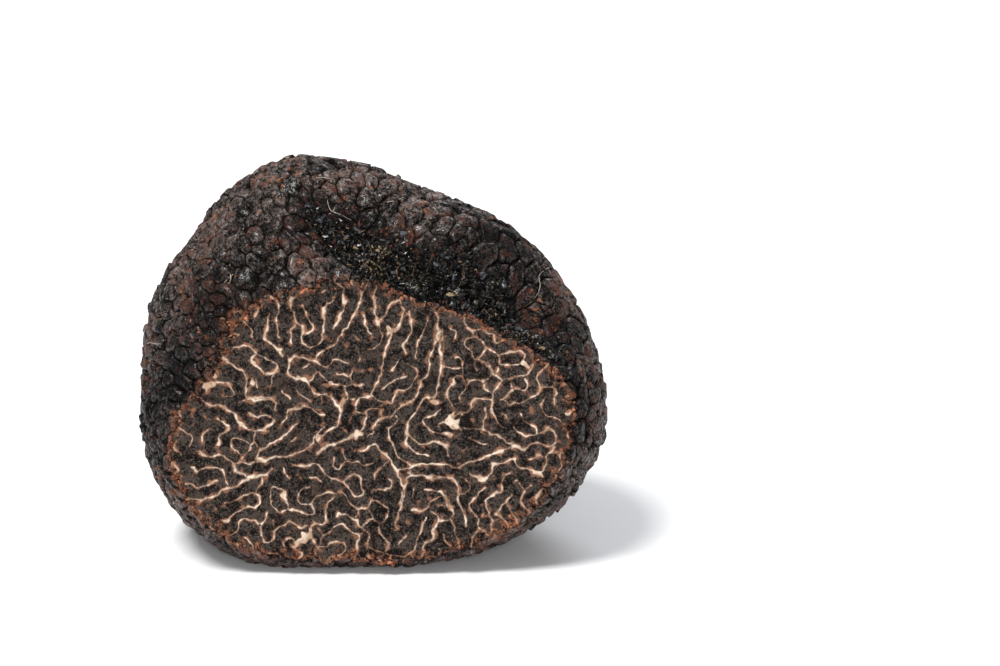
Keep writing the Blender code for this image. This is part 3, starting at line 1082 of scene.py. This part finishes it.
class TRUFFLE_OT_cut_face(bpy.types.Operator):
    """Lay the veined flesh over the cut, with its orange-brown crust"""

    bl_idname = "truffle.cut_face"
    bl_label = "Cut face"

    def execute(self, context):
        settings = context.scene.truffle_cut
        order = marked(bpy.data.objects["truffle_skin"].data, "order")
        points = values(bpy.data.objects["truffle_skin"].data.vertices, "co", 3) / MM
        outline = on_cut(points[np.argsort(order)[-int(order.max()):]])[:, :2]
        face = self.slab(outline, settings)
        finish_piece(face, flesh_material(settings))
        crust = self.crust(outline)
        finish_piece(crust, crust_material(settings), smooth=False)
        return {"FINISHED"}

    def slab(self, outline, settings):
        """The face as fine triangles inside the rim, closed by a smaller back that is hidden."""
        inner = polygon_rows(outline, settings.cell)
        tree = point_tree([(x, y, 0) for x, y in along_line(np.vstack((outline, outline[:1])), RIM_STEP)])
        gaps = np.array([tree.find((x, y, 0))[2] for x, y in inner])
        inner, gaps = inner[gaps > settings.cell / 2], gaps[gaps > settings.cell / 2]
        places, count = np.vstack((outline, inner)), len(outline)
        rim = [(index, (index + 1) % count) for index in range(count)]
        spots, _, faces, *_ = delaunay_2d_cdt([Vector(place) for place in places], rim, [], 1, 1e-6)
        spots = np.array([tuple(spot) for spot in spots])
        tree_gaps = np.array([tree.find((x, y, 0))[2] for x, y in spots])
        flat, vein = flat_points(spots), vein_depths(spots, settings)
        inward = smoothstep(tree_gaps, 0, SLAB_BEVEL) * (tree_gaps > 1e-4)
        relief = settings.relief * smoothstep(vein, -0.2, 0.1)
        rise = inward * (SLAB_RISE + relief + SLAB_ROUGH * grains(flat, SLAB_GRAINS))
        slab = new_piece("cut_face", off_cut(np.column_stack((spots, rise))), faces)
        mark(slab.data, "vein", vein)
        mark(slab.data, "knot", knots(flat))
        mark(slab.data, "rim", np.clip(tree_gaps, 0, RIM_REACH))
        with editing(slab, "EDGE"):
            bpy.ops.mesh.select_all(action="DESELECT")
            bpy.ops.mesh.select_non_manifold()
            bpy.ops.mesh.extrude_edges_indiv()
        chosen = values(slab.data.vertices, "select", kind=bool)
        points = values(slab.data.vertices, "co", 3)
        back = on_cut(points[chosen])
        back[:, :2] *= 1 - SLAB_INSET / np.linalg.norm(back[:, :2], axis=1, keepdims=True)
        back[:, 2] -= SLAB_DEPTH
        points[chosen] = off_cut(back)
        place_points(slab.data, points)
        with editing(slab, "EDGE", whole=False):
            bpy.ops.mesh.edge_face_add()
            bpy.ops.mesh.select_all(action="SELECT")
            bpy.ops.mesh.quads_convert_to_tris()
        return slab

    def crust(self, outline):
        """Small orange and brown lumps along the rim, where the knife tore the skin."""
        draw = np.random.default_rng(SEED)
        spots = along_line(np.vstack((outline, outline[:1])), CRUST_STEP)
        spots = spots + draw.normal(size=spots.shape) * CRUST_SCATTER
        chance = CRUST_CHANCE[0] + CRUST_CHANCE[1] * grain(flat_points(spots), *CRUST_GRAIN)
        spots = spots[draw.uniform(size=len(spots)) < np.clip(chance, *CRUST_LIMITS)]
        spots = spots - unit(spots) * CRUST_INWARD
        lift, sizes = draw.uniform(*CRUST_LIFTS, len(spots)), draw.uniform(*CRUST_SIZES, len(spots))
        places = off_cut(np.column_stack((spots, lift)))
        return lump_piece("rim_crust", places, sizes, CRUST_STRETCH, draw.uniform(size=len(spots)), draw)


def lump_shapes(draw):
    """A few small angular shapes, each the hull of some points drawn round a middle."""
    shapes = []
    for _ in range(LUMP_SHAPES):
        ways = unit(draw.normal(size=(LUMP_POINTS, 3)))
        shape = new_piece("shape", ways * draw.uniform(*LUMP_REACH, (LUMP_POINTS, 1)))
        with editing(shape):
            bpy.ops.mesh.convex_hull(join_triangles=False)
        corners = values(shape.data.vertices, "co", 3)
        faces = values(shape.data.polygons, "vertices", 3, int)
        shapes.append((corners, faces))
        bpy.data.objects.remove(shape)
    return shapes


def lump_piece(name, places, sizes, stretch, tints, draw):
    """One piece of many lumps, each a turned copy of one of a few shapes."""
    shapes = lump_shapes(draw)
    points, faces, marks, count = [], [], [], 0
    for place, size, tint in zip(places, sizes, tints):
        corners, sides = shapes[draw.integers(len(shapes))]
        turn = np.linalg.qr(draw.normal(size=(3, 3)))[0]
        turn *= np.sign(np.linalg.det(turn))
        points.append(place + (corners * size * np.array(stretch)) @ turn)
        faces.append(sides + count)
        marks.append(np.full(len(corners), tint))
        count += len(corners)
    piece = new_piece(name, np.vstack(points), np.vstack(faces))
    mark(piece.data, "tint", np.concatenate(marks))
    return piece


def tube_piece(name, lines, radius):
    """One piece of thin round threads, each along a smooth line and thinner at its ends."""
    curve = bpy.data.curves.new(name, "CURVE")
    curve.dimensions = "3D"
    curve.bevel_depth = radius
    curve.bevel_resolution = 1
    curve.use_fill_caps = True
    curve.resolution_u = 4
    for line in lines:
        spline = curve.splines.new("NURBS")
        spline.points.add(len(line) - 1)
        for index, (point, place) in enumerate(zip(spline.points, line)):
            point.co = (*place, 1)
            swell = math.sin(math.pi * min(1, (index + 0.6) / len(line)))
            point.radius = THREAD_END + (1 - THREAD_END) * swell
        spline.order_u = min(4, len(line))
        spline.use_endpoint_u = True
    thread = bpy.data.objects.new(name, curve)
    bpy.context.scene.collection.objects.link(thread)
    make_active(thread)
    bpy.ops.object.convert(target="MESH")
    return bpy.context.view_layer.objects.active


def flesh_material(settings):
    """Dark grainy flesh with cream veins in tan borders, and an orange-brown crust at the rim."""
    shade = Shade("veined_flesh")
    vein, rim, knot = (shade.attribute(name) for name in ("vein", "rim", "knot"))
    fine, coarse, middling = shade.noise(0.28, 3.0, 0.7), shade.noise(2.4, 2.0), shade.noise(0.9, 3.0)
    pits, glints, grit = shade.noise(0.36, 2.0, 0.6), shade.noise(0.20, 1.0), shade.noise(0.15, 2.0, 0.6)
    light = (fine * 0.6 + grit * 0.4 + coarse.swing(0.35) + middling.swing(0.6)).step(0.41, 0.58)
    colour = shade.mix(light, settings.pit_colour, settings.flesh_colour)
    colour = shade.mix((1 - pits.step(0.34, 0.50)) * 0.95, colour, settings.pit_colour)
    colour = shade.mix(glints.step(0.62, 0.78) * 0.6, colour, settings.glint_colour)
    brown = (shade.noise(3.4, 2.0) + middling.swing(0.5)).step(0.52, 0.74)
    colour = shade.mix(brown * (0.2 + fine * 0.35), colour, settings.stain_colour)
    ragged = fine.swing(0.16) + middling.swing(0.14) + grit.swing(0.08)
    depth = vein + ragged
    near = 1 - (rim + coarse.swing(2.0)).step(0.3, 2.8)
    border = (depth + knot * 0.22).step(-0.34, 0.08) * (0.15 + coarse * 0.6 + knot * 0.8)
    colour = shade.mix(border.math("MINIMUM", 1.0), colour, settings.edge_colour)
    tan = (near * 0.7).greater((1 - (shade.noise(1.1, 2.0) + knot * 0.10).step(0.38, 0.62)) * 0.85)
    pale = shade.mix(tan, settings.vein_colour, settings.dull_colour)
    core = (depth + coarse.swing(0.14)).step(-0.08, 0.10)
    colour = shade.mix(core * (0.50 + coarse * 0.35 + fine * 0.4), colour, pale)
    torn = 1 - (rim + middling.swing(2.2) + coarse.swing(1.4)).step(0.0, 0.85)
    rust = shade.mix(fine.step(0.42, 0.64), settings.crust_colour, settings.crumb_colour)
    torn = torn * (coarse + fine * 0.4 + middling.swing(0.6)).step(0.56, 0.84) * 0.85
    colour = shade.mix(torn, colour, rust)
    roughness = 0.55 + fine.swing(0.5)
    normal = shade.bump(fine * 0.9 + pits * 1.1 + grit * 0.6 + depth * 0.5, 0.28)
    glint = (grit + fine.swing(0.5)).step(0.58, 0.72) * 0.3
    return shade.finish(colour, roughness, normal, Coat_Weight=glint, **MATT)


def crust_material(settings):
    """Torn bits of the rim: black-brown, red-brown and some orange."""
    shade = Shade("torn_crust")
    tint, fine, patch = shade.attribute("tint"), shade.noise(0.2, 2.0), shade.noise(3.0, 2.0)
    share = tint * 0.8 + 0.1 + patch.swing(1.8)
    colour = shade.mix(share.step(0.40, 0.68), CRUST_BLACK, settings.crust_colour)
    colour = shade.mix(share.step(0.80, 1.05) * 0.9, colour, settings.crumb_colour)
    colour = shade.mix(fine.step(0.45, 0.7) * 0.3, colour, CRUST_DARK)
    return shade.finish(colour, 0.6 + fine * 0.2, shade.bump(fine, 0.08), **MATT)


def soil_ground(along, across):
    """Points of the body under the bed, its outward normals there, and how full the bed is."""
    stops, nearest, furthest = np.array(SOIL_BED).T
    angles = stops[0] + along * (stops[-1] - stops[0])
    near, far = np.interp(angles, stops, nearest), np.interp(angles, stops, furthest)
    row = flat_points(np.column_stack((angles * SOIL_RAGGED_GRAIN, angles * 0)))
    ragged = [grain(row + (0, side, 0), 1) for side in (0.5, 9.5)]
    near = near + SOIL_RAGGED_SHARE * (far - near) * np.abs(ragged[0])
    far = far + SOIL_RAGGED_SHARE * (far - near) * ragged[1]
    ground = points_around_cut(angles, near + across * (far - near))
    full = np.sqrt(np.abs(np.sin(np.pi * along) * np.sin(np.pi * across)))
    return ground, body_normals(unit(ground - BODY_CENTRE)), full


def bed_height(ground, full, settings):
    """How high the soil stands over the body at these points."""
    rough = SOIL_ROUGH * grains(ground, SOIL_GRAINS)
    return SOIL_SINK + full * (settings.thickness - SOIL_SINK + rough)


class TRUFFLE_OT_soil(bpy.types.Operator):
    """Lay the crumbly soil in the fold, with its crumbs, fibres and flakes"""

    bl_idname = "truffle.soil"
    bl_label = "Soil"

    def execute(self, context):
        settings = context.scene.truffle_soil
        draw = np.random.default_rng(SEED)
        finish_piece(self.bed(settings), bed_material(settings), replaced=("soil_in_fold",))
        sizes = CRUMB_SMALLEST + (1 - CRUMB_SMALLEST) * draw.uniform(size=settings.crumbs) ** 4
        sizes *= settings.crumb_size
        places = self.places(draw, settings.crumbs, sizes * CRUMB_LIFT, settings)
        tints, pale = draw.uniform(size=(2, len(sizes)))
        bed = bpy.data.objects["soil_bed"]
        gaps = np.linalg.norm(places - pixels_on_piece(bed, [TAN_PIXEL], 0)[0], axis=1)
        tints[pale < TAN_CHANCE * np.exp(-((gaps / TAN_REACH) ** 2))] = TAN_TINT
        sizes[tints > COLOURED_TINT] *= COLOURED_SIZE
        crumbs = lump_piece("soil_crumbs", places, sizes, CRUMB_STRETCH, tints, draw)
        finish_piece(crumbs, crumb_material(settings), smooth=False)
        sizes = draw.uniform(*FLAKE_SIZES, settings.flakes)
        places = self.places(draw, settings.flakes, FLAKE_LIFT, settings)
        sizes[0], lift = LARGE_FLAKE
        places[0] = pixels_on_piece(bed, [FLAKE_PIXEL], lift)[0]
        tints = draw.uniform(size=len(sizes))
        flakes = lump_piece("soil_flakes", places, sizes, FLAKE_STRETCH, tints, draw)
        finish_piece(flakes, flake_material(settings), smooth=False)
        fibres = tube_piece("soil_fibres", self.fibres(draw, settings), FIBRE_RADIUS)
        finish_piece(fibres, fibre_material(settings))
        return {"FINISHED"}

    def bed(self, settings):
        """A fine grid and its extruded copy: the underside on the body, the top crumbly."""
        bpy.ops.mesh.primitive_grid_add(x_subdivisions=SOIL_CELLS[0], y_subdivisions=SOIL_CELLS[1], size=1)
        bed = bpy.context.object
        bed.name = bed.data.name = "soil_bed"
        bed.location = (0, 0, 0)
        with editing(bed, "FACE"):
            bpy.ops.mesh.extrude_region()
        is_top = values(bed.data.vertices, "select", kind=bool)
        along, across, _ = values(bed.data.vertices, "co", 3).T + 0.5
        ground, normals, full = soil_ground(along, across)
        height = np.where(is_top, bed_height(ground, full, settings), SOIL_SINK - SOIL_UNDER)
        place_points(bed.data, ground + normals * height[:, None])
        mark(bed.data, "full", full)
        return bed

    def places(self, draw, count, lift, settings):
        """Places on the bed and round its edge, drawn at random and lifted by this much."""
        along, across = draw.uniform(*SPREAD_ALONG, count), draw.uniform(*SPREAD_ACROSS, count)
        ground, normals, full = soil_ground(np.clip(along, 0, 1), across)
        inside = (along > 0) & (along < 1) & (across > 0) & (across < 1)
        height = np.where(inside, bed_height(ground, full, settings), EDGE_LIFT)
        return ground + normals * (np.maximum(height, EDGE_LIFT) + lift)[:, None]

    def fibres(self, draw, settings):
        """Short curved lines that lie on the bed."""
        lines = []
        for _ in range(settings.fibres):
            start, turn = draw.uniform(*FIBRE_STARTS), draw.uniform(0, 2 * math.pi)
            bend, length = draw.normal() * FIBRE_BEND, draw.uniform(*FIBRE_LENGTHS)
            steps = np.linspace(0, 1, FIBRE_STEPS)
            turns = turn + bend * steps * 2
            along = start[0] + np.cumsum(np.cos(turns)) * length / BED_RATIO
            across = start[1] + np.cumsum(np.sin(turns)) * length
            ground, normals, full = soil_ground(np.clip(along, 0, 1), np.clip(across, 0, 1))
            arch = FIBRE_LIFT[0] + FIBRE_LIFT[1] * np.sin(math.pi * steps)
            height = np.maximum(bed_height(ground, full, settings), 0) + arch
            lines.append(ground + normals * height[:, None])
        return lines


def bed_material(settings):
    shade = Shade("soil_bed")
    fine, coarse = shade.noise(0.22, 3.0, 0.7), shade.noise(1.3, 2.0)
    colour = shade.mix(fine.step(0.5, 0.70) * 0.6, settings.black, BED_GREY)
    specks = shade.noise(0.28, 2.0) + coarse.swing(0.3)
    colour = shade.mix(specks.step(0.62, 0.72) * 0.8, colour, settings.tan)
    normal = shade.bump(fine + shade.noise(0.5, 2.0), 0.5)
    glint = (fine + coarse.swing(0.5)).step(0.54, 0.68) * 0.7
    return shade.finish(colour, 0.5 + fine * 0.4, normal, Coat_Weight=glint, **WET)


def crumb_material(settings):
    """Mostly black crumbs, some blue-grey, pale brown and rusty."""
    shade = Shade("soil_crumbs")
    tint, fine = shade.attribute("tint"), shade.noise(0.12, 2.0, 0.7)
    colour = shade.mix(tint.step(0.54, 0.56) * 0.8, settings.black, settings.grey)
    colour = shade.mix(tint.step(0.66, 0.67), colour, settings.black)
    colour = shade.mix(tint.step(0.90, 0.91) * 0.8, colour, settings.rust)
    colour = shade.mix(tint.step(0.945, 0.95), colour, settings.tan)
    colour = shade.mix(fine.step(0.45, 0.7) * 0.6, colour, settings.black)
    glint = 0.6 - tint.step(0.85, 0.9) * 0.6
    return shade.finish(colour, 0.30 + fine * 0.3, shade.bump(fine, 0.06), Coat_Weight=glint, **WET)


def flake_material(settings):
    shade = Shade("soil_flakes")
    tint, fine = shade.attribute("tint"), shade.noise(0.25, 2.0)
    colour = shade.mix(tint, settings.tan, FLAKE_BROWN)
    colour = shade.mix(fine.step(0.4, 0.7) * 0.5, colour, FLAKE_DARK)
    return shade.finish(colour, 0.5 + fine * 0.2, shade.bump(fine, 0.04), Specular_IOR_Level=0.4)


def fibre_material(settings):
    shade = Shade("soil_fibres")
    share = shade.noise(2.0, 2.0).step(0.35, 0.65)
    colour = shade.mix(share, settings.tan, FIBRE_DARK)
    return shade.finish(colour, 0.5 + shade.noise(0.2, 2.0) * 0.2, Specular_IOR_Level=0.4)


def hair_material(settings):
    shade = Shade("root_hairs")
    fine = shade.noise(0.4, 2.0)
    colour = shade.mix(fine.step(0.35, 0.7) * 0.6, settings.colour, HAIR_DARK)
    return shade.finish(colour, 0.5 + fine * 0.2, Specular_IOR_Level=0.4)


class TRUFFLE_OT_hairs(bpy.types.Operator):
    """Lay the whitish root hairs on the skin"""

    bl_idname = "truffle.hairs"
    bl_label = "Root hairs"

    def execute(self, context):
        settings = context.scene.truffle_hairs
        skin = bpy.data.objects["truffle_skin"]
        lines = [pixels_on_piece(skin, line, HAIR_LIFT) for line in HAIRS]
        hairs = tube_piece("root_hairs", lines, settings.radius)
        finish_piece(hairs, hair_material(settings))
        return {"FINISHED"}


class TRUFFLE_OT_stage(bpy.types.Operator):
    """Set up the pale floor, the soft lights and the camera"""

    bl_idname = "truffle.stage"
    bl_label = "Stage"

    def execute(self, context):
        settings = context.scene.truffle_stage
        bpy.ops.mesh.primitive_plane_add(size=settings.floor_size)
        floor = bpy.context.object
        floor.name = "floor"
        shade = Shade("pale_floor")
        fine = shade.noise(3.0, 2.0)
        colour = shade.mix(fine * 0.1, settings.floor_colour, FLOOR_PALE)
        floor.data.materials.append(shade.finish(colour, 0.6, Specular_IOR_Level=0.1))
        world = bpy.data.worlds.new("sky")
        world.use_nodes = True
        background = world.node_tree.nodes["Background"]
        background.inputs["Color"].default_value = (1.0, 1.0, 1.0, 1.0)
        background.inputs["Strength"].default_value = settings.sky
        context.scene.world = world
        for name, place, size, share, tone in LAMPS:
            bpy.ops.object.light_add(type="AREA", location=place)
            lamp = bpy.context.object
            lamp.name = name
            lamp.data.shape = "DISK"
            lamp.data.size = size
            lamp.data.energy = settings.key * share
            lamp.data.color = tone
            aim = Vector(LAMP_AIM) - Vector(place)
            lamp.rotation_euler = aim.to_track_quat("-Z", "Y").to_euler()
        place, _, _, _ = camera_frame()
        bpy.ops.object.camera_add(location=tuple(place * MM))
        camera = bpy.context.object
        camera.rotation_euler = (math.radians(90 - CAMERA_ELEVATION), 0, 0)
        camera.data.lens = LENS
        camera.data.sensor_width = SENSOR
        camera.data.clip_start = 0.01
        context.scene.camera = camera
        context.scene.view_settings.view_transform = "Standard"
        return {"FINISHED"}


class TRUFFLE_PT_panel(bpy.types.Panel):
    """The settings and the steps, in the sidebar"""

    bl_idname = "TRUFFLE_PT_panel"
    bl_label = "Cut black truffle"
    bl_space_type = "VIEW_3D"
    bl_region_type = "UI"
    bl_category = "Truffle"

    def draw(self, context):
        for name, operator in (
            ("truffle_skin", "truffle.skin"),
            ("truffle_cut", "truffle.cut_face"),
            ("truffle_soil", "truffle.soil"),
            ("truffle_hairs", "truffle.hairs"),
            ("truffle_stage", "truffle.stage"),
        ):
            box = self.layout.box()
            settings = getattr(context.scene, name)
            for field in settings.__annotations__:
                box.prop(settings, field)
            box.operator(operator)


SETTINGS = {
    "truffle_skin": SkinSettings,
    "truffle_cut": CutSettings,
    "truffle_soil": SoilSettings,
    "truffle_hairs": HairSettings,
    "truffle_stage": StageSettings,
}
CLASSES = (
    *SETTINGS.values(),
    TRUFFLE_OT_skin,
    TRUFFLE_OT_cut_face,
    TRUFFLE_OT_soil,
    TRUFFLE_OT_hairs,
    TRUFFLE_OT_stage,
    TRUFFLE_PT_panel,
)


def register():
    for item in CLASSES:
        bpy.utils.register_class(item)
    for name, kind in SETTINGS.items():
        setattr(bpy.types.Scene, name, PointerProperty(type=kind))


def unregister():
    for name in SETTINGS:
        delattr(bpy.types.Scene, name)
    for item in reversed(CLASSES):
        bpy.utils.unregister_class(item)


def main():
    register()
    bpy.ops.object.select_all(action="DESELECT")
    bpy.ops.truffle.skin()
    bpy.ops.truffle.cut_face()
    bpy.ops.truffle.soil()
    bpy.ops.truffle.hairs()
    bpy.ops.truffle.stage()


if __name__ == "__main__":
    main()
